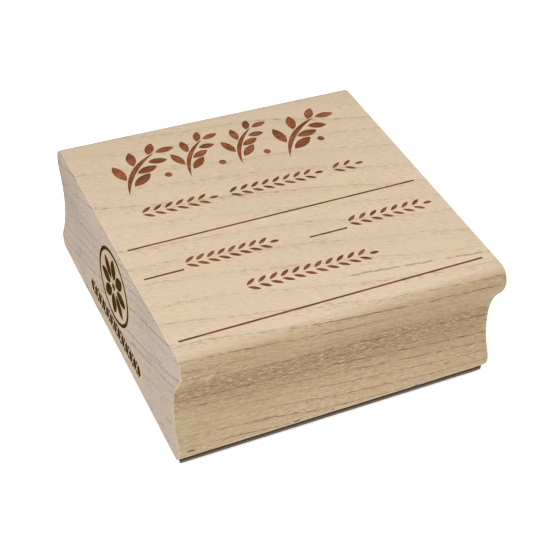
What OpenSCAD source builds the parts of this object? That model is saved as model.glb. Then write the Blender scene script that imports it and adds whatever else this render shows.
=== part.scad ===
// Wood-mounted rubber stamp: a maple moulding block, a thin foam cushion between two
// adhesive films, and a rubber die that carries the artwork in relief.
// X runs along the moulding, -Y is the front, +Z is up.
// The origin is under the middle of the block, on the die's printing face.

/* [Wood block] */
// Length of the block along the moulding
block_l = 65.3; // [62:0.1:80]
// Depth of the block from nose to nose
block_d = 67.2; // [66:0.1:80]
// Height of the block, one inch stock
block_h = 25.4; // [24:0.1:27]

/* [Moulding profile] */
// Radius of the nose above its widest line
nose_r = 2.9; // [2:0.1:3.5]
// Radius of the nose below its widest line
nose_low_r = 5.3; // [4:0.1:6]
// How far the waist of the cove sits inside the nose
waist_in = 3.25; // [2.5:0.05:4]
// Height of the waist above the block's underside
waist_z = 12.9; // [12:0.1:14]
// Radius of the cove below the waist
cove_low_r = 17.5; // [15:0.5:20]
// Radius of the belly at the foot of the block
belly_r = 3; // [2:0.1:3.5]
// How far the belly sits inside the nose
belly_in = 0.3; // [0:0.1:1]

/* [Cushion and die] */
// Length of the cushion and the die
pad_l = 64.3; // [62:0.1:64.5]
// Depth of the cushion and the die
pad_d = 64.2; // [61:0.1:64.4]
// How far the hand-laid pad sits off the block's middle
pad_shift = 0.35; // [-0.4:0.05:0.4]
// Thickness of each adhesive film
film_t = 0.05; // [0.05:0.01:0.15]
// Thickness of the foam cushion
foam_t = 0.8; // [0.8:0.1:3.2]
// Thickness of the die's base sheet
base_t = 0.6; // [0.5:0.1:1.5]
// Height of the die's relief
relief_h = 0.7; // [0.4:0.1:1]

/* [Artwork] */
// Depth of the engraving in the wood
burn_depth = 0.12; // [0.08:0.01:0.4]
// Width of the writing rules
rule_w = 0.44; // [0.2:0.02:0.6]
// Radius of the dots in the heading
dot_r = 0.75; // [0.5:0.05:0.9]
// Radius of the ring on the left end
ring_r = 8.1; // [7.2:0.1:8.4]
// Line width of the ring on the left end
ring_w = 0.8; // [0.4:0.1:1]

/* [Hidden] */
$fn = 72;

// Heights of the layers, from the printing face up.
base_z = relief_h;
low_film_z = base_z + base_t;
foam_z = low_film_z + film_t;
up_film_z = foam_z + foam_t;
block_z = up_film_z + film_t;
top_z = block_z + block_h;

// Moulding profile, as insets from the nose line. The arcs are tangent where they meet.
nose_z = block_h - nose_r;
nose_rise = nose_z - waist_z;
cove_up_r = (waist_in * waist_in + nose_rise * nose_rise) / (2 * waist_in) - nose_low_r;
nose_angle = asin(nose_rise / (nose_low_r + cove_up_r));
belly_across = cove_low_r + belly_r + belly_in - waist_in;
belly_angle = acos(belly_across / (cove_low_r + belly_r));
belly_z = waist_z - (cove_low_r + belly_r) * sin(belly_angle);
foot_angle = asin(belly_z / belly_r);
arc_steps = 6;

// Ears of leaves: the height of each row, and where its ears start and end.
ear_rows = [
    [6.6, [[-24.2, -8.5], [-6.1, 14.3], [16.5, 23.4]]],
    [-9.8, [[-22, -3.2], [11.5, 29.9]]],
    [-19.5, [[-14.1, 12.8]]],
];
// Writing rules: start, end and height.
rules = [
    [-30.6, 29.95, -2.6],
    [-30.6, -22.9, -11.2],
    [2.5, 10.45, -11.2],
    [-30.8, 30.1, -28.2],
];
// Sprig of the heading: a stem on an arc, and pairs of leaves that shrink towards its tip.
stem_r = 14;
stem_w = 1.15;
stem_shift = 12;
stem_span = 62;
stem_pairs = 3;
leaf_l = 5.6;
leaf_less = 0.7;
leaf_w = 2.25;
leaf_thin = 0.15;
leaf_gap = 0.3;
leaf_lean = 38;
// Each sprig: place of its foot, size, and lean.
sprigs = [
    [-24.4, 13.4, 0.95, -8],
    [-11, 14.8, 0.82, 0],
    [0.2, 15.2, 0.82, 0],
    [10.3, 14, 0.99, -13],
];
heading_dots = [[-15.1, 16.4], [-3.45, 16.5], [6.5, 16.7], [18.9, 17]];

// Ears that stand in for the lines of words.
ear_pitch = 2.1;
ear_leaf_l = 2.5;
ear_leaf_w = 0.78;
ear_tip_l = 2;
ear_gap = 0.44;
ear_lean = 32;

// Mark on the left end.
mark_z = block_z + 15;
petals = 8;
petal_in = 1.6;
petal_l = 5;
petal_w = 2.7;
bud_r = 0.8;
band_z = block_z + 4.7;
band_h = 3.6;
lozenges = 13;
lozenge_w = 2.05;
lozenge_pitch = 2.2;
band_dot_r = 0.5;
band_dot_z = 1.25;

function arc(centre, r, from, to) =
    [for (i = [0:arc_steps]) let (a = from + (to - from) * i / arc_steps) centre + r * [cos(a), sin(a)]];

function profile_side() = concat(
    arc([belly_in + belly_r, belly_z], belly_r, 180 + foot_angle, 180 - belly_angle),
    arc([waist_in - cove_low_r, waist_z], cove_low_r, -belly_angle, 0),
    arc([waist_in - cove_up_r, waist_z], cove_up_r, 0, nose_angle),
    arc([nose_low_r, nose_z], nose_low_r, 180 + nose_angle, 180),
    arc([nose_r, nose_z], nose_r, 180, 90)
);

module profile() {
    side = profile_side();
    last = len(side) - 1;
    front = [for (p = side) [p[0] - block_d / 2, p[1]]];
    back = [for (i = [last:-1:0]) [block_d / 2 - side[i][0], side[i][1]]];
    polygon(concat(front, back));
}

// Pointed leaf that starts at the origin and runs along +X.
module leaf(long, wide) {
    r = (long * long + wide * wide) / (4 * wide);
    translate([long / 2, 0]) intersection() {
        translate([0, r - wide / 2]) circle(r);
        translate([0, wide / 2 - r]) circle(r);
    }
}

// Brush stroke with pointed ends: the part of one disc that lies outside another.
module stroke(r, cut_r, shift) {
    difference() {
        circle(r);
        translate([shift, 0]) circle(cut_r);
    }
}

// Leafy sprig: a brush-stroke stem that rises from the origin and bends to the right,
// with leaves on both sides and one at its tip, all clear of each other.
module sprig() {
    translate([stem_r, 0]) {
        rotate(-stem_span / 2) stroke(stem_r, stem_r + stem_shift - stem_w, stem_shift);
        for (i = [0:stem_pairs - 1], side = [-1, 1])
            rotate(180 - stem_span * (i + 0.64 + side * 0.2) / stem_pairs)
                translate([stem_r - stem_w / 2 + side * (stem_w / 2 + leaf_gap), 0])
                    rotate(-90 + side * leaf_lean) leaf(leaf_l - leaf_less * i, leaf_w - leaf_thin * i);
        rotate(180 - stem_span * 1.06) translate([stem_r, 0]) rotate(-100)
            leaf(leaf_l * 0.8, leaf_w * 0.8);
    }
}

module heading() {
    for (s = sprigs) translate([s[0], s[1]]) rotate(s[3]) scale(s[2]) sprig();
    for (d = heading_dots) translate(d) circle(dot_r);
}

// Ear of small leaves in pairs, from x0 to x1, with one leaf at its tip.
module ear(x0, x1, y) {
    pairs_l = x1 - x0 - ear_tip_l;
    pairs = floor(pairs_l / ear_pitch);
    for (i = [0:pairs - 1], side = [-1, 1])
        translate([x0 + i * pairs_l / pairs, y + side * ear_gap / 2])
            rotate(side * ear_lean) leaf(ear_leaf_l, ear_leaf_w);
    translate([x1 - ear_tip_l, y]) leaf(ear_tip_l, ear_leaf_w);
}

module top_art() {
    heading();
    for (row = ear_rows, span = row[1]) ear(span[0], span[1], row[0]);
    for (r = rules) translate([r[0], r[2] - rule_w / 2]) square([r[1] - r[0], rule_w]);
}

// Generic mark of the left end: a rosette in a ring, over a band of lozenges and dots.
module end_mark() {
    translate([0, mark_z]) {
        difference() {
            circle(ring_r);
            circle(ring_r - ring_w);
        }
        for (i = [0:petals - 1]) rotate(360 * i / petals) translate([petal_in, 0]) leaf(petal_l, petal_w);
        circle(bud_r);
    }
    for (i = [0:lozenges - 1]) translate([(i - (lozenges - 1) / 2) * lozenge_pitch, band_z]) {
        polygon([[-lozenge_w / 2, 0], [0, -band_h / 2], [lozenge_w / 2, 0], [0, band_h / 2]]);
        if (i > 0) for (side = [-1, 1])
            translate([-lozenge_pitch / 2, side * band_dot_z]) circle(band_dot_r);
    }
}

// Stands a flat outline in the YZ plane, with its thickness along +X.
module across_x(thick) {
    rotate([90, 0, 90]) linear_extrude(thick) children();
}

module pad(z, thick) {
    translate([pad_shift - pad_l / 2, -pad_d / 2, z]) cube([pad_l, pad_d, thick]);
}

module wood_block() {
    color("burlywood") difference() {
        translate([-block_l / 2, 0, block_z]) across_x(block_l) profile();
        translate([0, 0, top_z - burn_depth]) linear_extrude(burn_depth + 1) top_art();
        translate([-block_l / 2 - 1, 0, 0]) across_x(burn_depth + 1) end_mark();
    }
}

module upper_adhesive_film() {
    color("gainsboro") pad(up_film_z, film_t);
}

module foam_cushion() {
    color("dimgray") pad(foam_z, foam_t);
}

module lower_adhesive_film() {
    color("gainsboro") pad(low_film_z, film_t);
}

// The relief reads the same way as the block's top, so its print does too.
module rubber_die() {
    color("rosybrown") union() {
        pad(base_z, base_t);
        linear_extrude(base_z + base_t / 2) top_art();
    }
}

wood_block();
upper_adhesive_film();
foam_cushion();
lower_adhesive_film();
rubber_die();
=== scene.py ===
import math

import bmesh
import bpy
import numpy as np
from mathutils import Matrix, Vector, noise


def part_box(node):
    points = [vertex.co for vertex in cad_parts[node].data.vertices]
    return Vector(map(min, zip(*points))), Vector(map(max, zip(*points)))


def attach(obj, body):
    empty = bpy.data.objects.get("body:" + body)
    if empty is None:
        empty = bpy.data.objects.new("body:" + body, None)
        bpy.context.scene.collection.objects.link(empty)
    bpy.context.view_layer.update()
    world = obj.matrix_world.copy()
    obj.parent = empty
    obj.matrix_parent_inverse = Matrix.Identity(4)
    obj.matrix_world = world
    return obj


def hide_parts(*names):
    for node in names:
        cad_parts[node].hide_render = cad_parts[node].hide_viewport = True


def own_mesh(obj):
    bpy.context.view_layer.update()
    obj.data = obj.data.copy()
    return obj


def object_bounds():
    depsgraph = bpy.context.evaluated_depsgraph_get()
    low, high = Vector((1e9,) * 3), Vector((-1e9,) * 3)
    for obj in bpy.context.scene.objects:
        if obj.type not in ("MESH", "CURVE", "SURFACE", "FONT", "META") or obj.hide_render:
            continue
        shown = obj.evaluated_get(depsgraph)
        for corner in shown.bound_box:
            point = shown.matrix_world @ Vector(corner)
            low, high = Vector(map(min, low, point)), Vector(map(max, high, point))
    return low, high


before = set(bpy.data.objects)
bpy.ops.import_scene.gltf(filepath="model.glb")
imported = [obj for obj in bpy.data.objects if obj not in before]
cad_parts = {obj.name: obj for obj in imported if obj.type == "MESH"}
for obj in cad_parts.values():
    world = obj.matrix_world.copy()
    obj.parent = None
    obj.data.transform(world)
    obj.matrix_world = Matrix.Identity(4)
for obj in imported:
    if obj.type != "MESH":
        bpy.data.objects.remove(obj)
cad_lo, cad_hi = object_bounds()

MM = 0.001
BLOCK_LO, BLOCK_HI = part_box("wood_block")
BLOCK_L = (BLOCK_HI.x - BLOCK_LO.x) / MM
BLOCK_D = (BLOCK_HI.y - BLOCK_LO.y) / MM
BLOCK_H = (BLOCK_HI.z - BLOCK_LO.z) / MM
BLOCK_Z = BLOCK_LO.z / MM
TOP_Z = BLOCK_HI.z / MM

# Moulding profile in mm, as in the CAD: insets from the nose line, heights from the underside.
NOSE_R = 2.9
NOSE_LOW_R = 5.3
WAIST_IN = 3.25
WAIST_Z = 12.9
COVE_LOW_R = 17.5
BELLY_R = 3.0
BELLY_IN = 0.3
ARC_STEP_MM = 0.35
ARRIS_R = 0.16
ARRIS_STEPS = 3
SLICE_MM = 0.55
CHIP_MM = 0.14

# Artwork in mm, at the places where the CAD has it.
BURN_DEPTH = 0.12
CUTTER_OUT = 1
RULE_W = 0.44
DOT_R = 0.75
STEM_R, STEM_W, STEM_SHIFT, STEM_SPAN, STEM_PAIRS = 14, 1.15, 12, 62, 3
LEAF_L, LEAF_LESS, LEAF_W, LEAF_THIN, LEAF_GAP, LEAF_LEAN = 5.6, 0.7, 2.25, 0.15, 0.3, 38
EAR_PITCH, EAR_LEAF_L, EAR_LEAF_W, EAR_TIP_L, EAR_GAP, EAR_LEAN = 2.1, 2.5, 0.78, 2, 0.44, 32
SPRIGS = [(-24.4, 13.4, 0.95, -8), (-11, 14.8, 0.82, 0), (0.2, 15.2, 0.82, 0), (10.3, 14, 0.99, -13)]
HEADING_DOTS = [(-15.1, 16.4), (-3.45, 16.5), (6.5, 16.7), (18.9, 17)]
EAR_ROWS = [
    (6.6, [(-24.2, -8.5), (-6.1, 14.3), (16.5, 23.4)]),
    (-9.8, [(-22, -3.2), (11.5, 29.9)]),
    (-19.5, [(-14.1, 12.8)]),
]
RULES = [(-30.6, 29.95, -2.6), (-30.6, -22.9, -11.2), (2.5, 10.45, -11.2), (-30.8, 30.1, -28.2)]
RING_R, RING_W, PETALS, PETAL_IN, PETAL_L, PETAL_W, BUD_R = 8.1, 0.8, 8, 1.6, 5, 2.7, 0.8
LOZENGES, LOZENGE_W, LOZENGE_PITCH, BAND_H, BAND_DOT_R, BAND_DOT_Z = 13, 2.05, 2.2, 3.6, 0.5, 1.25
RELIEF_H = 0.7
MARK_Z = BLOCK_Z + 15
BAND_Z = BLOCK_Z + 4.7


# ---------------------------------------------------------------- outlines, as complex numbers in mm


def arc(centre, r, start, end, steps):
    """Points on an arc, both ends included. Angles are in degrees."""
    return centre + r * np.exp(1j * np.radians(np.linspace(start, end, steps + 1)))


def fine_arc(centre, r, start, end):
    """An arc with a point about every ARC_STEP_MM, without its last point."""
    steps = max(4, round(abs(math.radians(end - start)) * r / ARC_STEP_MM))
    return arc(centre, r, start, end, steps)[:-1]


def circle(r, steps=24):
    return arc(0, r, 0, 360, steps)[:-1]


def turned(points, degrees):
    return points * np.exp(1j * math.radians(degrees))


def leaf(length, width, steps=8):
    """Pointed leaf that starts at 0 and runs along +X."""
    r = (length**2 + width**2) / (4 * width)
    half = math.degrees(math.asin(length / 2 / r))
    low = arc(length / 2 + 1j * (r - width / 2), r, 270 - half, 270 + half, steps)
    high = arc(length / 2 - 1j * (r - width / 2), r, 90 - half, 90 + half, steps)
    return np.concatenate([low[:-1], high[:-1]])


def stroke(r, cut_r, shift, steps=14):
    """Brush stroke: the part of one disc that lies outside another."""
    x = (r**2 - cut_r**2 + shift**2) / (2 * shift)
    outer = math.degrees(math.acos(-x / r))
    inner = math.degrees(math.acos((shift - x) / cut_r))
    left = arc(0, r, 180 - outer, 180 + outer, steps)
    right = arc(shift, cut_r, 180 + inner, 180 - inner, steps)
    return np.concatenate([left[:-1], right[:-1]])


def sprig():
    """Leafy sprig that rises from 0 and bends to the right."""
    parts = [turned(stroke(STEM_R, STEM_R + STEM_SHIFT - STEM_W, STEM_SHIFT), -STEM_SPAN / 2)]
    for i in range(STEM_PAIRS):
        for side in (-1, 1):
            blade = turned(leaf(LEAF_L - LEAF_LESS * i, LEAF_W - LEAF_THIN * i), side * LEAF_LEAN - 90)
            blade = blade + STEM_R - STEM_W / 2 + side * (STEM_W / 2 + LEAF_GAP)
            parts.append(turned(blade, 180 - STEM_SPAN * (i + 0.64 + side * 0.2) / STEM_PAIRS))
    tip = turned(leaf(LEAF_L * 0.8, LEAF_W * 0.8), -100) + STEM_R
    parts.append(turned(tip, 180 - STEM_SPAN * 1.06))
    return [p + STEM_R for p in parts]


def ear(x0, x1, y):
    """Ear of small leaves in pairs, with one leaf at its tip."""
    span = x1 - x0 - EAR_TIP_L
    pairs = math.floor(span / EAR_PITCH)
    parts = [leaf(EAR_TIP_L, EAR_LEAF_W) + x1 - EAR_TIP_L + 1j * y]
    for i in range(pairs):
        for side in (-1, 1):
            foot = x0 + i * span / pairs + 1j * (y + side * EAR_GAP / 2)
            parts.append(turned(leaf(EAR_LEAF_L, EAR_LEAF_W), side * EAR_LEAN) + foot)
    return parts


def bar(x0, x1, y, height):
    return np.array([x0 - 0.5j * height, x1 - 0.5j * height, x1 + 0.5j * height, x0 + 0.5j * height]) + 1j * y


def top_art():
    """Every outline of the block's top and of the die's relief."""
    parts = []
    for x, y, size, lean in SPRIGS:
        parts += [turned(p, lean) * size + x + 1j * y for p in sprig()]
    parts += [circle(DOT_R) + x + 1j * y for x, y in HEADING_DOTS]
    for y, spans in EAR_ROWS:
        for x0, x1 in spans:
            parts += ear(x0, x1, y)
    parts += [bar(x0, x1, y, RULE_W) for x0, x1, y in RULES]
    return parts


def end_mark():
    """Solid outlines of the left end's mark, with Y across and Z up. The ring is apart."""
    parts = [circle(BUD_R) + 1j * MARK_Z]
    for i in range(PETALS):
        parts.append(turned(leaf(PETAL_L, PETAL_W) + PETAL_IN, 360 * i / PETALS) + 1j * MARK_Z)
    for i in range(LOZENGES):
        at = (i - (LOZENGES - 1) / 2) * LOZENGE_PITCH + 1j * BAND_Z
        parts.append(np.array([-LOZENGE_W / 2, -0.5j * BAND_H, LOZENGE_W / 2, 0.5j * BAND_H]) + at)
        for side in (-1, 1) if i else ():
            parts.append(circle(BAND_DOT_R, 12) + at - LOZENGE_PITCH / 2 + 1j * side * BAND_DOT_Z)
    return parts


def grown(points, distance):
    """A closed anticlockwise outline moved outwards by distance, with its sharp corners held back."""
    least = 0.6
    edge = np.roll(points, -1) - points
    normal = -1j * edge / np.abs(edge)
    mean = normal + np.roll(normal, 1)
    mean = mean / np.abs(mean)
    stretch = np.maximum((mean * np.conj(normal)).real, least)
    return points + distance * mean / stretch


def moulding_half():
    """Front half of the block's outline from the foot to the top flat: insets and heights in mm."""
    nose_z = BLOCK_H - NOSE_R
    rise = nose_z - WAIST_Z
    cove_up_r = (WAIST_IN**2 + rise**2) / (2 * WAIST_IN) - NOSE_LOW_R
    nose = math.degrees(math.asin(rise / (NOSE_LOW_R + cove_up_r)))
    reach = COVE_LOW_R + BELLY_R
    belly = math.degrees(math.acos((reach + BELLY_IN - WAIST_IN) / reach))
    belly_z = WAIST_Z - reach * math.sin(math.radians(belly))
    foot = math.degrees(math.asin(belly_z / BELLY_R))
    return np.concatenate([
        fine_arc(BELLY_IN + BELLY_R + 1j * belly_z, BELLY_R, 180 + foot, 180 - belly),
        fine_arc(WAIST_IN - COVE_LOW_R + 1j * WAIST_Z, COVE_LOW_R, -belly, 0),
        fine_arc(WAIST_IN - cove_up_r + 1j * WAIST_Z, cove_up_r, 0, nose),
        fine_arc(NOSE_LOW_R + 1j * nose_z, NOSE_LOW_R, 180 + nose, 180),
        fine_arc(NOSE_R + 1j * nose_z, NOSE_R, 180, 90),
        [NOSE_R + 1j * BLOCK_H],
    ])


# ---------------------------------------------------------------- meshes


def on_top(u, v, w):
    return Vector((u, v, w)) * MM


def on_end(u, v, w):
    return Vector((w, u, v)) * MM


def add_face(bm, corners, flip):
    bm.faces.new(corners[::-1] if flip else corners)


def add_band(bm, first, second, flip):
    """Faces between two closed loops of as many points."""
    for i in range(len(first)):
        j = (i + 1) % len(first)
        add_face(bm, [first[i], first[j], second[j], second[i]], flip)


def add_prism(bm, place, levels, hole=()):
    """Closed prism through levels of (outline, height); hole is the same for a ring's inner wall."""
    outer = [[bm.verts.new(place(p.real, p.imag, w)) for p in outline] for outline, w in levels]
    inner = [[bm.verts.new(place(p.real, p.imag, w)) for p in outline] for outline, w in hole]
    for rows, flip in ((outer, False), (inner, True)):
        for low, high in zip(rows, rows[1:]):
            add_band(bm, low, high, flip)
    for k, flip in ((0, True), (-1, False)):
        if inner:
            add_band(bm, outer[k], inner[k], flip)
        else:
            add_face(bm, outer[k], flip)


def to_object(bm, name):
    mesh = bpy.data.meshes.new(name)
    bmesh.ops.recalc_face_normals(bm, faces=bm.faces)
    bm.to_mesh(mesh)
    bm.free()
    piece = bpy.data.objects.new(name, mesh)
    bpy.context.scene.collection.objects.link(piece)
    return piece


def apply_modifiers(piece):
    """Puts the result of the piece's modifiers into its mesh."""
    graph = bpy.context.evaluated_depsgraph_get()
    mesh = bpy.data.meshes.new_from_object(piece.evaluated_get(graph))
    mesh.materials.clear()
    piece.modifiers.clear()
    piece.data = mesh


def combine(piece, tool, operation):
    """Cuts tool out of piece, or joins it on, and removes tool."""
    change = piece.modifiers.new(operation, "BOOLEAN")
    change.object = tool
    change.operation = operation
    change.solver = "MANIFOLD"
    apply_modifiers(piece)
    bpy.data.objects.remove(tool)


def shade(piece, angle=32):
    """Smooth shading that keeps the edges sharper than angle, with flat faces kept flat."""
    piece.data.shade_smooth()
    piece.data.set_sharp_from_angle(angle=math.radians(angle))
    weighted = piece.modifiers.new("flat_faces", "WEIGHTED_NORMAL")
    weighted.keep_sharp = True


def wander(position, seed, length):
    """Smooth noise from -1 to 1 along a line, with features about length mm long."""
    return noise.noise(Vector((position / length, 7.3 * seed, 1.7 * seed)))


def block_slices():
    """Places along the block, in mm, with how far the outline is drawn in there to round the arris."""
    angles = np.radians(np.linspace(0, 90, ARRIS_STEPS + 1))
    ends = [(ARRIS_R * (1 - math.cos(a)), ARRIS_R * (1 - math.sin(a))) for a in angles]
    count = round((BLOCK_L - 2 * ARRIS_R) / SLICE_MM)
    left = [(-BLOCK_L / 2 + x, inset) for x, inset in ends]
    middle = [(x, 0) for x in np.linspace(-BLOCK_L / 2 + ARRIS_R, BLOCK_L / 2 - ARRIS_R, count + 1)[1:-1]]
    return left + middle + [(-x, inset) for x, inset in left[::-1]]


def chipped(outline, x):
    """The outline with its two foot corners broken a little, by an amount that changes along the block."""
    changed = outline.copy()
    for side, corner, up in ((1, 0, 1), (2, len(outline) - 1, len(outline) - 2)):
        rough = 0.45 + 0.55 * wander(x, side, 7) + 0.35 * wander(x, side + 4, 1.3)
        bite = CHIP_MM * min(1, max(0.12, rough))
        inwards = math.copysign(1, -outline[corner].real)
        rise = outline[up] - outline[corner]
        changed[corner] += bite * inwards
        changed[up] = outline[corner] + rise * bite / abs(rise)
    return changed


def block_body():
    """The moulding with rounded end arrises and broken foot edges. Its two flats are one face each."""
    half = moulding_half()
    above_foot = half[0] + (half[1] - half[0]) * 0.3
    half = np.insert(half, 1, above_foot)
    front = half.real - BLOCK_D / 2 + 1j * (half.imag + BLOCK_Z)
    outline = np.concatenate([front, -np.conj(front[::-1])])[::-1]
    bm = bmesh.new()
    rows = []
    for x, inset in block_slices():
        ring = grown(chipped(outline, x), -inset) if inset else chipped(outline, x)
        rows.append([bm.verts.new(on_end(p.real, p.imag, x)) for p in ring])
    count = len(outline)
    flats = (len(half) - 1, count - 1)
    for k, (a, b) in enumerate(zip(rows, rows[1:])):
        between_arrises = ARRIS_STEPS <= k < len(rows) - ARRIS_STEPS - 1
        for i in range(count):
            j = (i + 1) % count
            if between_arrises and i in flats:
                continue
            bm.faces.new([a[i], b[i], b[j], a[j]])
    full_rows = rows[ARRIS_STEPS:-ARRIS_STEPS]
    for i in flats:
        j = (i + 1) % count
        bm.faces.new([r[i] for r in full_rows] + [r[j] for r in full_rows[::-1]])
    bm.faces.new(rows[0])
    bm.faces.new(rows[-1][::-1])
    return to_object(bm, "maple_block")


def top_cutter():
    bm = bmesh.new()
    for outline in top_art():
        add_prism(bm, on_top, [(outline, TOP_Z - BURN_DEPTH), (outline, TOP_Z + CUTTER_OUT)])
    return to_object(bm, "top_cutter")


def end_cutter():
    bm = bmesh.new()
    low, high = -BLOCK_L / 2 - CUTTER_OUT, -BLOCK_L / 2 + BURN_DEPTH
    for outline in end_mark():
        add_prism(bm, on_end, [(outline, low), (outline, high)])
    ring_steps = 72
    outer = circle(RING_R, ring_steps) + 1j * MARK_Z
    inner = circle(RING_R - RING_W, ring_steps) + 1j * MARK_Z
    add_prism(bm, on_end, [(outer, low), (outer, high)], [(inner, low), (inner, high)])
    return to_object(bm, "end_cutter")


LONG_GRAIN, END_GRAIN, BURNT, SCORCHED = range(4)


def block_face_material(centre, normal):
    """Which of the block's materials a face takes, from where it is."""
    x, y, z = (c / MM for c in centre)
    tiny, margin = 0.02, 1
    on_art = abs(x) < BLOCK_L / 2 - margin and abs(y) < BLOCK_D / 2 - NOSE_R - tiny
    if on_art and TOP_Z - BURN_DEPTH - tiny < z < TOP_Z - tiny:
        return BURNT
    on_mark = abs(y) < BLOCK_D / 4 and BAND_Z - BAND_H < z < MARK_Z + RING_R + margin
    if on_mark and tiny < x + BLOCK_L / 2 < BURN_DEPTH + tiny:
        return SCORCHED
    return END_GRAIN if abs(normal.x) > 0.5 else LONG_GRAIN


def build_block():
    piece = block_body()
    combine(piece, top_cutter(), "DIFFERENCE")
    combine(piece, end_cutter(), "DIFFERENCE")
    for material in (maple_long(), maple_end(), burnt_wood(), scorched_wood()):
        piece.data.materials.append(material)
    for face in piece.data.polygons:
        face.material_index = block_face_material(face.center, face.normal)
    shade(piece)
    return piece


def hand_cut(position, seed, rough):
    """How far in a hand-cut edge lies at a place along it, in mm."""
    return rough * (0.5 + 0.5 * wander(position, seed, 5)) + rough * 0.2 * wander(position, seed, 1)


def sheet_outline(node, pitch, seed, inset=0.01, rough=0.03, corner_r=0.15):
    """Outline in mm of a sheet cut by hand to a CAD node's size, with edges that wander inwards."""
    lo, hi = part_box(node)
    middle = ((lo + hi) / 2) / MM
    w, d = (hi.x - lo.x) / MM / 2 - inset, (hi.y - lo.y) / MM / 2 - inset
    points = []
    for turn, (length, reach) in enumerate(((w, d), (d, w), (w, d), (d, w))):
        steps = round((2 * length - 2 * corner_r) / pitch)
        along = np.linspace(-length + corner_r, length - corner_r, steps + 1)
        into = [hand_cut(s, seed + turn, rough) for s in along]
        side = along - 1j * (reach - np.maximum(into, 0))
        centre = length - corner_r - 1j * (reach - corner_r - rough / 2)
        bend = arc(centre, corner_r - rough / 2, -90, 0, 4)[1:-1]
        points.append(turned(np.concatenate([side, bend]), 90 * turn))
    return np.concatenate(points) + middle.x + 1j * middle.y


def build_film(node, name, seed):
    """Thin adhesive film whose cut edge is not quite straight."""
    pitch, edge = 0.8, 0.01
    lo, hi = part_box(node)
    low, high = lo.z / MM, hi.z / MM
    outline = sheet_outline(node, pitch, seed, inset=0.12, rough=0.2)
    face = grown(outline, -edge)
    bm = bmesh.new()
    add_prism(bm, on_top, [(face, low), (outline, (low + high) / 2), (face, high)])
    return to_object(bm, name)


def build_foam():
    """Closed-cell foam sheet: its cut sides are a little hollow and pitted by opened cells."""
    rows, pitch, seed, cell, pit, hollow = 8, 0.2, 3, 0.22, 0.06, 0.03
    lo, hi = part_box("foam_cushion")
    outline = sheet_outline("foam_cushion", pitch, seed)
    outward = grown(outline, 1) - outline
    levels = []
    for k in range(rows):
        up = k / (rows - 1)
        z = (lo.z + (hi.z - lo.z) * up) / MM
        bow = math.sin(math.pi * up)
        depth = []
        for p in outline:
            nearest = noise.voronoi(Vector((p.real, p.imag, z)) / cell)[0][0]
            depth.append(hollow * bow + pit * (0.35 + 0.65 * bow) * max(0, 1 - 1.6 * nearest))
        levels.append((outline - outward * np.array(depth), z))
    bm = bmesh.new()
    add_prism(bm, on_top, levels)
    return to_object(bm, "foam_pad")


def build_die():
    """Rubber die: a cut sheet whose artwork stands proud below it, on walls with a small shoulder."""
    pitch, seed, edge, shoulder, shoulder_h, sunk = 0.8, 5, 0.03, 0.09, 0.25, 0.2
    lo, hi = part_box("rubber_die")
    face_z, top_z = lo.z / MM, hi.z / MM
    base_z = face_z + RELIEF_H
    outline = sheet_outline("rubber_die", pitch, seed)
    bm = bmesh.new()
    add_prism(bm, on_top, [
        (grown(outline, -edge), base_z), (outline, base_z + edge),
        (outline, top_z - edge), (grown(outline, -edge), top_z),
    ])
    piece = to_object(bm, "die_sheet")
    bm = bmesh.new()
    for art in top_art():
        add_prism(bm, on_top, [
            (art, face_z), (grown(art, shoulder / 4), base_z - shoulder_h),
            (grown(art, shoulder), base_z), (grown(art, shoulder), base_z + sunk),
        ])
    combine(piece, to_object(bm, "relief"), "UNION")
    return piece


# ---------------------------------------------------------------- shader nodes


def add(tree, kind, inputs=None, **settings):
    """A new shader node. Sockets given as inputs are linked, and plain values are set."""
    node = tree.nodes.new(kind)
    for name, value in settings.items():
        setattr(node, name, value)
    for name, value in (inputs or {}).items():
        if isinstance(value, bpy.types.NodeSocket):
            tree.links.new(value, node.inputs[name])
        else:
            node.inputs[name].default_value = value
    return node


def calc(tree, operation, *values):
    return add(tree, "ShaderNodeMath", dict(enumerate(values)), operation=operation).outputs[0]


def times(tree, first, second):
    return calc(tree, "MULTIPLY", first, second)


def scaled(tree, value, factor, offset):
    """The value times factor, plus offset."""
    return calc(tree, "MULTIPLY_ADD", value, factor, offset)


def split(tree, vector):
    """The three parts of a vector."""
    return add(tree, "ShaderNodeSeparateXYZ", {0: vector}).outputs


def mixed(tree, amount, low, high):
    """Colour between low and high. The mix node has its factor at 0 and its colours at 6 and 7."""
    return add(tree, "ShaderNodeMix", {0: amount, 6: low, 7: high}, data_type="RGBA").outputs[2]


def ramp(tree, value, *stops):
    """Piecewise-linear curve through (position, height) stops."""
    node = add(tree, "ShaderNodeValToRGB", {"Fac": value})
    elements = node.color_ramp.elements
    while len(elements) < len(stops):
        elements.new(0.5)
    for element, (position, height) in zip(elements, stops):
        element.position = position
        element.color = (height, height, height, 1)
    return node.outputs["Color"]


def cloud(tree, place, stretch, scale, detail=2.0, roughness=0.5):
    """Noise from 0 to 1; stretch scales each axis of place, and scale is in features per mm."""
    mapped = add(tree, "ShaderNodeVectorMath", {0: place, 1: stretch}, operation="MULTIPLY").outputs[0]
    inputs = {"Vector": mapped, "Scale": scale, "Detail": detail, "Roughness": roughness}
    return add(tree, "ShaderNodeTexNoise", inputs).outputs[0]


def scan_lines(tree, place, scale, distortion, detail):
    """Fine waves along X, like the passes of a laser."""
    inputs = {"Vector": place, "Scale": scale, "Distortion": distortion, "Detail": detail}
    return add(tree, "ShaderNodeTexWave", inputs, bands_direction="Y").outputs[1]


def srgb(r, g, b):
    """Linear colour of an 8-bit sRGB one."""
    return tuple(((c / 255 + 0.055) / 1.055) ** 2.4 for c in (r, g, b)) + (1,)


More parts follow.
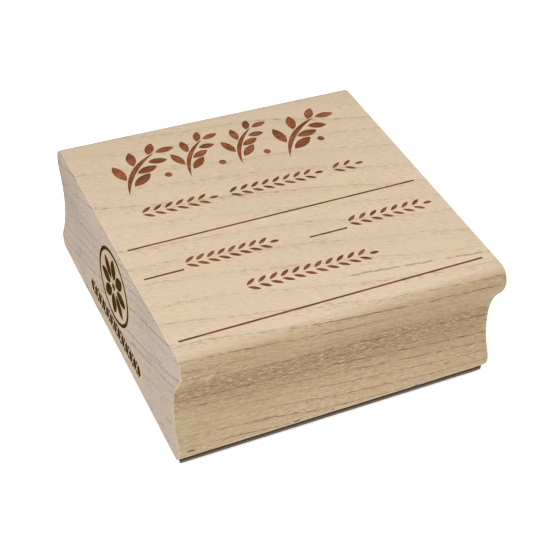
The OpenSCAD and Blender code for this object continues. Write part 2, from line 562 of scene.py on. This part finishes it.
def new_material(name):
    """An empty material and its place in mm."""
    material = bpy.data.materials.new(name)
    material.use_nodes = True
    tree = material.node_tree
    tree.nodes.clear()
    place = add(tree, "ShaderNodeTexCoord").outputs["Object"]
    place = add(tree, "ShaderNodeVectorMath", {0: place, "Scale": 1 / MM}, operation="SCALE").outputs[0]
    return material, tree, place


def finish_material(tree, colour, roughness, height, bump_mm, specular=0.5, **plain):
    """Principled shader with that colour, roughness and bump. A height of 1 stands for bump_mm."""
    bump = add(tree, "ShaderNodeBump", {"Height": height, "Distance": bump_mm * MM, "Strength": 1.0})
    inputs = {
        "Base Color": colour,
        "Roughness": roughness,
        "Specular IOR Level": specular,
        "Normal": bump.outputs[0],
    }
    shader = add(tree, "ShaderNodeBsdfPrincipled", {**inputs, **plain})
    add(tree, "ShaderNodeOutputMaterial", {"Surface": shader.outputs[0]})


# ---------------------------------------------------------------- materials of the wood


def ring_radius(tree, place):
    """Place across the growth rings, in mm. The rings slant, bow and wander a little."""
    along, across, bow, up = 0.07, 0.36, -0.0012, 0.95
    axes = split(tree, place)
    lean = times(tree, axes[0], along)
    side = times(tree, axes[1], scaled(tree, axes[1], bow, across))
    rise = times(tree, axes[2], up)
    radius = calc(tree, "ADD", calc(tree, "ADD", lean, side), rise)
    radius = scaled(tree, cloud(tree, place, (0.3, 1, 1), 0.05), 3.6, radius)
    return scaled(tree, cloud(tree, place, (0.4, 1, 1), 0.8, 3), 0.35, radius)


def growth(tree, place, radius, width=0.04):
    """Growth rings of the board: the thin line of each ring, the line's soft edge, and the ring's tone."""
    ring_mm, line_at = 2.1, 0.95
    phase = calc(tree, "DIVIDE", radius, ring_mm)
    part = calc(tree, "FRACT", phase)
    number = calc(tree, "FLOOR", phase)
    ring = add(tree, "ShaderNodeTexWhiteNoise", {"W": number}, noise_dimensions="1D").outputs[0]
    broken = ramp(tree, cloud(tree, place, (0.4, 1, 1), 0.5, 5, 0.75), (0.4, 0), (0.54, 1))
    fade = ramp(tree, cloud(tree, place, (0.4, 1, 1), 0.12, 3), (0.36, 0.35), (0.56, 1))
    weight = times(tree, scaled(tree, ring, 0.6, 0.4), fade)
    off_line = calc(tree, "ABSOLUTE", calc(tree, "SUBTRACT", part, line_at))
    line = ramp(tree, calc(tree, "DIVIDE", off_line, width), (0.5, 1), (1, 0))
    line = times(tree, times(tree, line, broken), weight)
    halo = ramp(tree, part, (0, 0.5), (0.12, 0), (0.6, 0), (0.94, 1), (1, 0.5))
    return line, times(tree, halo, weight), ring


def pale_rim_highlight(tree, place):
    """Pale rim along the sawn ends and the foot: painted highlight where the eased arrises catch the light,
    and painted light that lifts the shade along the foot.
    """
    axes = split(tree, place)
    to_end = calc(tree, "SUBTRACT", BLOCK_L / 2, calc(tree, "ABSOLUTE", axes[0]))
    half_foot = times(tree, calc(tree, "SUBTRACT", axes[2], BLOCK_Z), 0.5)
    end_rim = ramp(tree, to_end, (0.08, 1), (0.3, 0))
    foot_rim = ramp(tree, half_foot, (0.4, 1), (0.6, 0))
    patchy = ramp(tree, cloud(tree, place, (0.5, 1, 1), 0.6, 3), (0.35, 0.45), (0.6, 1))
    return times(tree, calc(tree, "MAXIMUM", end_rim, foot_rim), patchy)


def along_fibres(tree, place):
    """Place in mm along and across the slanting fibres, over the top and round the moulded sides."""
    slant_top, slant_less, turn_mm = 0.19, 0.12, 8
    axes = split(tree, place)
    drop = calc(tree, "SUBTRACT", TOP_Z, axes[2])
    over = calc(tree, "MINIMUM", calc(tree, "DIVIDE", drop, turn_mm), 1)
    lean = scaled(tree, over, -slant_less, slant_top)
    across = scaled(tree, drop, calc(tree, "SIGN", axes[1]), axes[1])
    slanted = scaled(tree, axes[0], lean, across)
    return add(tree, "ShaderNodeCombineXYZ", {0: axes[0], 1: slanted}).outputs[0]


def cove_height(tree, place):
    """Height on the block from 0 to 1, made to tilt and wander like the cutter's marks in the cove."""
    tilt, wander_mm = 0.035, 2.0
    axes = split(tree, place)
    height = scaled(tree, axes[0], tilt, calc(tree, "SUBTRACT", axes[2], BLOCK_Z))
    height = calc(tree, "SUBTRACT", height, wander_mm / 2)
    height = scaled(tree, cloud(tree, place, (0.15, 1, 1), 0.3, 4, 0.6), wander_mm, height)
    return calc(tree, "DIVIDE", height, BLOCK_H)


def moulded_side(tree):
    """0 on the flat top and 1 where the moulded side stands upright."""
    normal = add(tree, "ShaderNodeNewGeometry").outputs["Normal"]
    level = calc(tree, "ABSOLUTE", split(tree, normal)[2])
    return ramp(tree, level, (0.0, 1), (0.6, 0.9), (0.95, 0.3), (0.995, 0))


def by_side(tree, side, top, moulded):
    """One sRGB colour on the top and another on the moulded sides, where the darker colours are partly
    painted shade.
    """
    return mixed(tree, side, srgb(*top), srgb(*moulded))


def bare_maple(tree, place, side, height, ring):
    """Colour of the wood before its grain: pale on top, browner on the moulded sides, with painted shade on
    the moulded sides, in the cove under the nose and towards the back of the top.
    """
    axes = split(tree, place)
    tone = ramp(tree, cloud(tree, place, (0.35, 1, 1), 0.06, 3), (0.3, 0), (0.7, 1))
    warm = ramp(tree, cloud(tree, place, (0.4, 1, 1), 0.09, 4, 0.6), (0.4, 0), (0.62, 1))
    to_back = ramp(tree, scaled(tree, axes[1], 1 / BLOCK_D, 0.5), (0, 0), (0.6, 0.15), (1, 0.8))
    to_right = ramp(tree, scaled(tree, axes[0], 1 / BLOCK_L, 0.5), (0, 0), (1, 0.75))
    shadow = ramp(
        tree, height, (0, 0), (0.25, 0.05), (0.5, 0.9), (0.61, 1), (0.65, 0.5), (0.86, 0.6), (1, 0.3)
    )
    top = mixed(tree, tone, srgb(195, 175, 151), srgb(207, 188, 166))
    top = mixed(tree, times(tree, warm, 0.6), top, srgb(205, 185, 155))
    # Painted shade: the top darkens towards the back.
    top = mixed(tree, to_back, top, srgb(187, 166, 140))
    moulded = mixed(tree, tone, srgb(164, 144, 113), srgb(184, 165, 135))
    moulded = mixed(tree, to_right, moulded, srgb(162, 136, 105))
    moulded = mixed(tree, times(tree, shadow, 0.85), moulded, srgb(134, 109, 75))
    # Moulded sides: browner wood, and darker still from painted shade.
    colour = mixed(tree, side, top, moulded)
    return mixed(tree, times(tree, ring, 0.1), colour, srgb(178, 150, 116))


def with_fibres(tree, colour, side, streak, halo):
    """Adds long faint fibres and the soft edges of the growth lines."""
    fibre = times(tree, ramp(tree, streak, (0.36, 1), (0.55, 0)), scaled(tree, side, 0.3, 0.2))
    colour = mixed(tree, fibre, colour, by_side(tree, side, (184, 158, 126), (144, 118, 86)))
    edge = times(tree, halo, scaled(tree, side, 0.18, 0.14))
    return mixed(tree, edge, colour, by_side(tree, side, (172, 144, 112), (134, 106, 76)))


def with_specks(tree, colour, side, fibres, speck, rough):
    """Adds the dark and pale specks of rough grain, and patches of pale ray flecks."""
    dark = times(tree, ramp(tree, speck, (0.36, 1), (0.49, 0)), rough)
    pale = times(tree, ramp(tree, speck, (0.54, 0), (0.66, 1)), rough)
    colour = mixed(tree, times(tree, dark, scaled(tree, side, 0.35, 0.4)), colour, srgb(114, 86, 57))
    fleck = ramp(tree, cloud(tree, fibres, (0.3, 1, 1), 3.4, 3, 0.75), (0.54, 0), (0.66, 0.5))
    patch = ramp(tree, cloud(tree, fibres, (0.6, 1, 1), 0.25, 3, 0.6), (0.45, 0.1), (0.62, 0.6))
    light = calc(tree, "MAXIMUM", times(tree, pale, 0.6), times(tree, fleck, patch))
    return mixed(tree, light, colour, srgb(226, 207, 180))


def short_pores(tree, fibres, side, halo, torn):
    """Short dark pores, thickest beside the growth lines and in the torn grain."""
    dash = cloud(tree, fibres, (0.16, 1, 1), 3.6, 3, 0.6)
    near = scaled(tree, halo, 0.8, scaled(tree, torn, 0.35, 0.1))
    near = times(tree, near, scaled(tree, side, 0.1, 0.9))
    return times(tree, ramp(tree, dash, (0.37, 1), (0.43, 0)), near)


def foot_pits(tree, fibres, side, height):
    """A few dark pits low on the moulded sides."""
    foot = ramp(tree, height, (0.12, 1), (0.25, 0))
    pit = ramp(tree, cloud(tree, fibres, (0.4, 1, 1), 0.7, 2, 0.5), (0.66, 0), (0.7, 1))
    return times(tree, times(tree, pit, foot), side)


def dark_streak(tree, place, side):
    """One darker, dashed growth line across the front right of the top."""
    at_y, slope, wobble, width, strength = -23.1, -0.12, 1.1, 0.5, 0.75
    axes = split(tree, place)
    off = calc(tree, "SUBTRACT", axes[1], scaled(tree, axes[0], slope, at_y + wobble / 2))
    off = scaled(tree, cloud(tree, place, (0.5, 0, 0), 0.6, 4, 0.6), wobble, off)
    line = ramp(tree, calc(tree, "DIVIDE", calc(tree, "ABSOLUTE", off), width), (0.15, 1), (0.6, 0))
    broken = ramp(tree, cloud(tree, place, (0.5, 0.1, 0), 0.7, 3, 0.6), (0.42, 0.1), (0.52, 1))
    start = ramp(tree, calc(tree, "DIVIDE", axes[0], BLOCK_L), (0.04, 0), (0.08, 1))
    streak = times(tree, times(tree, line, broken), start)
    flat = calc(tree, "SUBTRACT", 1.0, side)
    return times(tree, streak, times(tree, flat, strength))


def maple_long():
    """Long grain: pale maple with fibres, short pores, ray flecks and thin broken growth lines."""
    material, tree, place = new_material("maple_long_grain")
    fibres = along_fibres(tree, place)
    side = moulded_side(tree)
    height = cove_height(tree, place)
    line, halo, ring = growth(tree, place, ring_radius(tree, place), scaled(tree, side, 0.024, 0.02))
    torn = ramp(
        tree, height, (0.05, 0.3), (0.35, 0.5), (0.5, 1), (0.61, 1), (0.66, 0.25), (0.85, 0.25), (1, 0.4)
    )
    torn = times(tree, torn, side)
    cluster = ramp(tree, cloud(tree, place, (0.3, 1, 1), 0.3, 4, 0.65), (0.4, 0.2), (0.6, 1))
    rough = calc(tree, "MAXIMUM", torn, times(tree, cluster, 0.65))
    streak = cloud(tree, fibres, (0.05, 1, 1), 1.6, 5, 0.7)
    speck = cloud(tree, fibres, (0.2, 1, 1), 3.5, 3, 0.75)
    pores = short_pores(tree, fibres, side, halo, torn)
    lines = times(tree, line, scaled(tree, side, 0.85, 0.45))

    colour = bare_maple(tree, place, side, height, ring)
    colour = with_fibres(tree, colour, side, streak, halo)
    colour = with_specks(tree, colour, side, fibres, speck, rough)
    colour = mixed(tree, pores, colour, by_side(tree, side, (132, 106, 80), (104, 78, 52)))
    colour = mixed(tree, foot_pits(tree, fibres, side, height), colour, srgb(92, 68, 44))
    colour = mixed(tree, lines, colour, by_side(tree, side, (132, 104, 78), (92, 64, 36)))
    colour = mixed(tree, dark_streak(tree, place, side), colour, srgb(138, 112, 76))
    # Painted highlight: a pale rim along the sawn ends and the foot.
    colour = mixed(tree, times(tree, pale_rim_highlight(tree, place), 0.6), colour, srgb(222, 203, 176))

    relief = scaled(tree, speck, rough, times(tree, streak, 0.6))
    relief = calc(tree, "SUBTRACT", relief, scaled(tree, pores, 0.5, times(tree, line, 0.5)))
    roughness = ramp(tree, streak, (0.3, 0.52), (0.7, 0.68))
    finish_material(tree, colour, roughness, relief, 0.1, specular=0.3)
    return material


def scorch(tree, place):
    """Smoke tint on the left end, strongest at the mark."""
    axes = split(tree, place)
    end = calc(tree, "LESS_THAN", axes[0], 0.0)
    rise = calc(tree, "SUBTRACT", axes[2], MARK_Z)
    spread = calc(tree, "SQRT", scaled(tree, axes[1], axes[1], times(tree, rise, rise)))
    disc = ramp(tree, calc(tree, "DIVIDE", spread, 2 * RING_R), (0.46, 1), (0.6, 0))
    across = calc(tree, "DIVIDE", calc(tree, "ABSOLUTE", axes[1]), LOZENGE_PITCH * LOZENGES)
    drop = calc(tree, "ABSOLUTE", calc(tree, "SUBTRACT", axes[2], BAND_Z))
    drop = calc(tree, "DIVIDE", drop, 2 * BAND_H)
    band = times(tree, ramp(tree, across, (0.48, 1), (0.6, 0)), ramp(tree, drop, (0.22, 1), (0.5, 0)))
    patch = times(tree, calc(tree, "MAXIMUM", disc, band), end)
    return times(tree, patch, scaled(tree, cloud(tree, place, (1, 1, 1), 0.5, 3), 0.7, 0.1))


def sawn_maple(tree, place, ring):
    """Colour of the end grain before its marks: grey brown, with painted shade that darkens it above the
    middle and to the back.
    """
    axes = split(tree, place)
    tone = ramp(tree, cloud(tree, place, (1, 1, 1), 0.07, 3), (0.3, 0), (0.7, 1))
    colour = mixed(tree, tone, srgb(167, 151, 137), srgb(181, 165, 150))
    to_back = scaled(tree, axes[1], 1 / BLOCK_D, 0.5)
    height = calc(tree, "DIVIDE", calc(tree, "SUBTRACT", axes[2], BLOCK_Z), BLOCK_H)
    far = ramp(tree, to_back, (0.35, 0.2), (0.8, 0.5), (1, 1))
    high = ramp(tree, height, (0, 0.2), (0.35, 0.4), (0.65, 1), (1, 0.4))
    # Painted shade: darker above the middle and towards the back.
    colour = mixed(tree, times(tree, far, high), colour, srgb(142, 127, 114))
    return mixed(tree, times(tree, ring, 0.15), colour, srgb(160, 142, 126))


def with_saw_marks(tree, colour, ringwise, sawn, pore):
    """Adds the dark and pale spots, the pores and the gashes that a saw leaves across the fibres."""
    cluster = ramp(tree, cloud(tree, ringwise, (0.5, 0.2, 1), 0.5, 3), (0.4, 0.3), (0.62, 1))
    dark = times(tree, ramp(tree, sawn, (0.36, 1), (0.48, 0)), cluster)
    pale = times(tree, ramp(tree, sawn, (0.52, 0), (0.7, 1)), cluster)
    pores = ramp(tree, pore, (0.36, 1), (0.46, 0))
    gash = ramp(tree, cloud(tree, ringwise, (1, 0.12, 1), 1.2, 4, 0.65), (0.33, 1), (0.41, 0))
    for mask, amount, tint in (
        (dark, 0.5, (122, 104, 90)),
        (pale, 0.55, (210, 195, 180)),
        (pores, 0.2, (122, 102, 88)),
        (gash, 0.55, (116, 98, 86)),
    ):
        colour = mixed(tree, times(tree, mask, amount), colour, srgb(*tint))
    return colour


def maple_end():
    """End grain: greyer and rough from the saw, with slanting growth lines and a scorch round the mark."""
    material, tree, place = new_material("maple_end_grain")
    axes = split(tree, place)
    radius = ring_radius(tree, place)
    line, halo, ring = growth(tree, place, radius, 0.055)
    seen = ramp(tree, ring, (0.35, 0.08), (0.75, 1))
    along_ring = scaled(tree, axes[2], -0.38, axes[1])
    ringwise = add(tree, "ShaderNodeCombineXYZ", {0: radius, 1: along_ring, 2: axes[0]}).outputs[0]
    sawn = cloud(tree, ringwise, (1, 0.45, 1), 2.2, 4, 0.8)
    pore = cloud(tree, ringwise, (1, 0.6, 1), 4.2, 3, 0.7)

    colour = sawn_maple(tree, place, ring)
    colour = with_saw_marks(tree, colour, ringwise, sawn, pore)
    colour = mixed(tree, times(tree, halo, times(tree, seen, 0.4)), colour, srgb(134, 114, 100))
    colour = mixed(tree, times(tree, line, seen), colour, srgb(104, 84, 72))
    colour = mixed(tree, scorch(tree, place), colour, srgb(186, 158, 114))

    height = calc(tree, "ADD", sawn, times(tree, pore, 0.4))
    height = calc(tree, "SUBTRACT", height, times(tree, line, 0.6))
    finish_material(tree, colour, ramp(tree, sawn, (0.3, 0.7), (0.7, 0.82)), height, 0.12, specular=0.2)
    return material


def burnt_wood():
    """Floor and walls of the laser engraving on top: red-brown, with faint scan lines along the rules."""
    material, tree, place = new_material("burnt_maple")
    line = growth(tree, place, ring_radius(tree, place))[0]
    tone = cloud(tree, place, (0.3, 1, 1), 0.5, 4, 0.6)
    grain = cloud(tree, place, (0.2, 1, 1), 4.0, 3, 0.6)
    scan = scan_lines(tree, place, 1.15, 0.6, 1.0)
    charred = ramp(tree, grain, (0.4, 1), (0.6, 0))
    colour = mixed(tree, ramp(tree, tone, (0.38, 0), (0.62, 1)), srgb(106, 58, 32), srgb(154, 92, 58))
    colour = mixed(tree, times(tree, charred, 0.6), colour, srgb(80, 42, 22))
    colour = mixed(tree, times(tree, scan, 0.2), colour, srgb(152, 96, 60))
    colour = mixed(tree, times(tree, line, 0.4), colour, srgb(76, 40, 20))
    height = scaled(tree, scan, 0.4, grain)
    finish_material(tree, colour, ramp(tree, grain, (0.3, 0.72), (0.7, 0.88)), height, 0.04, specular=0.08)
    return material


def scorched_wood():
    """Floor and walls of the mark burnt into the end grain: dark brown char."""
    material, tree, place = new_material("charred_end_grain")
    tone = cloud(tree, place, (1, 1, 1), 0.8, 4, 0.6)
    grain = cloud(tree, place, (1, 1, 1), 5.0, 3, 0.6)
    brown = ramp(tree, grain, (0.55, 0), (0.7, 1))
    colour = mixed(tree, ramp(tree, tone, (0.3, 0), (0.7, 1)), srgb(44, 28, 10), srgb(74, 51, 23))
    colour = mixed(tree, times(tree, brown, 0.3), colour, srgb(92, 64, 32))
    finish_material(tree, colour, ramp(tree, grain, (0.3, 0.75), (0.7, 0.9)), grain, 0.05, specular=0.0)
    return material


# ---------------------------------------------------------------- materials of the pad


def foam_material():
    """Dark brown closed-cell foam with cut cells."""
    material, tree, place = new_material("cushion_foam")
    tone = cloud(tree, place, (1, 1, 1), 0.3, 3)
    cells = add(tree, "ShaderNodeTexVoronoi", {"Vector": place, "Scale": 4.5}).outputs["Distance"]
    colour = mixed(tree, tone, srgb(58, 41, 24), srgb(80, 58, 36))
    colour = mixed(tree, ramp(tree, cells, (0.25, 0.6), (0.6, 0)), colour, srgb(34, 24, 14))
    finish_material(tree, colour, ramp(tree, tone, (0.3, 0.8), (0.7, 0.95)), cells, 0.06, specular=0.25)
    return material


def film_material():
    """Clear acrylic adhesive film, tinted by what it is stuck to."""
    material, tree, place = new_material("adhesive_film")
    tone = cloud(tree, place, (1, 1, 1), 0.25, 4)
    streaks = cloud(tree, place, (0.1, 1, 1), 1.5, 2)
    colour = mixed(tree, tone, srgb(104, 84, 60), srgb(140, 120, 94))
    finish_material(tree, colour, ramp(tree, streaks, (0.3, 0.25), (0.7, 0.42)), streaks, 0.01)
    return material


def rubber_material():
    """Grey-brown laser rubber with fine scan lines between the relief."""
    material, tree, place = new_material("die_rubber")
    tone = cloud(tree, place, (1, 1, 1), 0.2, 4)
    dust = cloud(tree, place, (1, 1, 1), 3.0, 3, 0.6)
    scan = scan_lines(tree, place, 0.9, 0.3, 2.0)
    dusty = times(tree, ramp(tree, dust, (0.5, 0), (0.7, 1)), 0.4)
    colour = mixed(tree, tone, srgb(74, 59, 44), srgb(92, 75, 58))
    colour = mixed(tree, dusty, colour, srgb(112, 95, 76))
    height = scaled(tree, scan, 0.6, dust)
    finish_material(tree, colour, ramp(tree, dust, (0.3, 0.5), (0.7, 0.7)), height, 0.03, specular=0.4)
    return material


# ---------------------------------------------------------------- stage


def build_floor():
    """White floor just under the die. It glows a little, so that it stays white round the object."""
    reach_m, squares, below_mm = 3.0, 8, 0.02
    bm = bmesh.new()
    bmesh.ops.create_grid(bm, x_segments=squares, y_segments=squares, size=reach_m)
    floor = to_object(bm, "floor")
    floor.location.z = cad_lo.z - below_mm * MM
    material, tree, place = new_material("pale_floor")
    tone = cloud(tree, place, (1, 1, 1), 0.01)
    colour = mixed(tree, tone, (0.86, 0.86, 0.86, 1), (0.9, 0.9, 0.9, 1))
    glow = {"Emission Color": (1, 1, 1, 1), "Emission Strength": 0.45}
    finish_material(tree, colour, 0.8, tone, 0.01, **glow)
    floor.data.materials.append(material)


def build_light(name, place, size, power):
    """Square soft box at place, in metres, aimed at the middle of the object."""
    lamp = bpy.data.lights.new(name, "AREA")
    lamp.size = size
    lamp.energy = power
    light = bpy.data.objects.new(name, lamp)
    light.location = place
    aim = (cad_lo + cad_hi) / 2 - light.location
    light.rotation_euler = aim.to_track_quat("-Z", "Y").to_euler()
    bpy.context.scene.collection.objects.link(light)


def build_world(strength):
    """Even white light from all round."""
    world = bpy.data.worlds.new("studio")
    world.use_nodes = True
    background = world.node_tree.nodes["Background"]
    background.inputs["Color"].default_value = (1, 1, 1, 1)
    background.inputs["Strength"].default_value = strength
    bpy.context.scene.world = world


def build_camera():
    """Camera above the front left corner, looking down at the block with a little roll."""
    yaw, pitch, roll = 0.4854236, 0.7172343, 0.0746494
    lens_mm, sensor_mm, near_m = 82.864, 36, 0.01
    ahead = Vector((math.sin(yaw) * math.cos(pitch), math.cos(yaw) * math.cos(pitch), -math.sin(pitch)))
    level = Vector((math.cos(yaw), -math.sin(yaw), 0))
    over = level.cross(ahead)
    right = level * math.cos(roll) + over * math.sin(roll)
    up = over * math.cos(roll) - level * math.sin(roll)
    camera = bpy.data.objects.new("camera", bpy.data.cameras.new("camera"))
    camera.data.lens = lens_mm
    camera.data.sensor_width = sensor_mm
    camera.data.clip_start = near_m
    turn = Matrix((right, up, -ahead)).transposed()
    place = Vector((-0.0887715, -0.1713534, BLOCK_LO.z + 0.1760563))
    camera.matrix_world = Matrix.Translation(place) @ turn.to_4x4()
    bpy.context.scene.collection.objects.link(camera)
    bpy.context.scene.camera = camera


# Each piece is attached to its CAD body, takes its materials, and hides the CAD node it stands for.


def place_block():
    block = build_block()
    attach(block, "block")
    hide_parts("wood_block")


def place_films():
    film = film_material()
    for node, name, body, seed in (
        ("upper_adhesive_film", "upper_film", "block", 11),
        ("lower_adhesive_film", "lower_film", "die_pad", 17),
    ):
        piece = build_film(node, name, seed)
        piece.data.materials.append(film)
        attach(piece, body)
        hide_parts(node)


def place_foam():
    """Foam pad, attached to the die pad's body, with a mesh of its own."""
    foam = build_foam()
    foam.data.materials.append(foam_material())
    shade(foam, angle=60)
    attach(foam, "die_pad")
    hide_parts("foam_cushion")
    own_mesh(foam)


def place_die():
    die = build_die()
    die.data.materials.append(rubber_material())
    shade(die)
    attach(die, "die_pad")
    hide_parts("rubber_die")


bpy.context.scene.view_settings.view_transform = "Standard"
build_camera()
build_world(strength=1.0)
build_light("key", place=(-0.2, -0.28, 0.5), size=0.3, power=1.2)
build_floor()
place_block()
place_films()
place_foam()
place_die()
